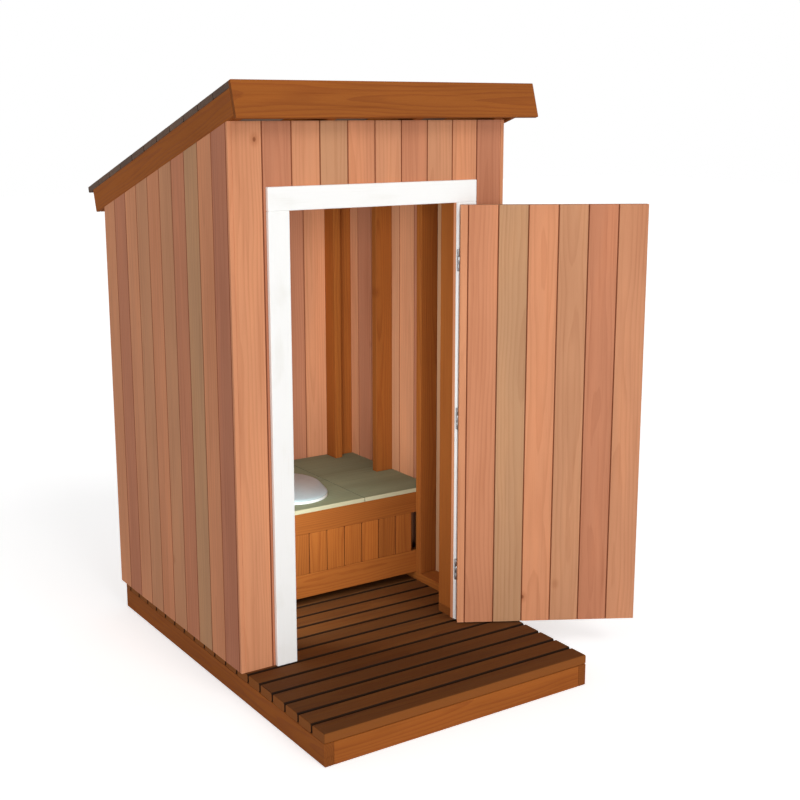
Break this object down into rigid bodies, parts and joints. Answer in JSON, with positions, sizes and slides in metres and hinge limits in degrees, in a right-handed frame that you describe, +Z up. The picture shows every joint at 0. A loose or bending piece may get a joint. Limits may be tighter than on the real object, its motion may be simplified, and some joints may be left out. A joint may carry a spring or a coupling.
{
  "type": "outhouse",
  "caption": "Wooden outhouse with a sloping plank roof, a deck in front, a boarded door that swings out and a bench with a lidded seat.",
  "frame": {"origin": "centre of the floor's footprint at ground level, on the underside of the middle joist", "axes": "+X to the right seen from the front, +Y to the back, +Z up; the doorway faces -Y"},
  "size_m": [1.6725, 2.0259, 2.3824],
  "materials": {
    "deck_wood": "weathered",
    "frame_wood": "sawn",
    "siding_wood": "planed",
    "door_wood": "planed",
    "white_wood": "painted",
    "roof_wood": "sawn",
    "bench_wood": "weathered",
    "white_plastic": "gloss",
    "grey_plastic": "gloss",
    "hinge_steel": "satin"
  },
  "bodies": {
    "house": {"deck_boards": "deck_wood", "rim_left": "frame_wood", "rim_right": "frame_wood", "rim_front": "frame_wood", "rim_back": "frame_wood", "floor_joists": "frame_wood", "left_wall_plates": "frame_wood", "left_wall_studs": "frame_wood", "right_wall_plates": "frame_wood", "right_wall_studs": "frame_wood", "back_wall_plates": "frame_wood", "back_wall_studs": "frame_wood", "front_wall_plates": "frame_wood", "front_wall_studs": "frame_wood", "door_header": "frame_wood", "rafters": "frame_wood", "front_fascia": "frame_wood", "back_fascia": "frame_wood", "left_barge_board": "frame_wood", "right_barge_board": "frame_wood", "bench_top_rail": "frame_wood", "bench_bottom_rail": "frame_wood", "bench_slats": "frame_wood", "bench_bearers": "frame_wood", "left_siding": "siding_wood", "right_siding": "siding_wood", "back_siding": "siding_wood", "front_siding_left": "siding_wood", "front_siding_right": "siding_wood", "front_siding_over_door": "siding_wood", "door_trim_left": "white_wood", "door_trim_right": "white_wood", "door_trim_head": "white_wood", "roof_boards": "roof_wood", "bench_top_left": "bench_wood", "bench_top_middle": "bench_wood", "bench_top_right": "bench_wood", "seat_ring": "white_plastic", "jamb_hinge_leaves": "hinge_steel"},
    "door": {"door_boards": "siding_wood", "door_stiles": "door_wood", "door_rails": "door_wood", "door_hinge_leaves": "hinge_steel"},
    "lid": {"seat_lid": "grey_plastic"}
  },
  "joints": [
    {"name": "door_hinge", "type": "hinge", "parent": "house", "child": "door", "pos_m": [0.38425, -0.3295, 0], "axis": [0, 0, 1], "range_deg": [-150, 20]},
    {"name": "lid_hinge", "type": "hinge", "parent": "house", "child": "lid", "pos_m": [0, 0.7125, 0.5885], "axis": [-1, 0, 0], "range_deg": [0, 100]}
  ]
}
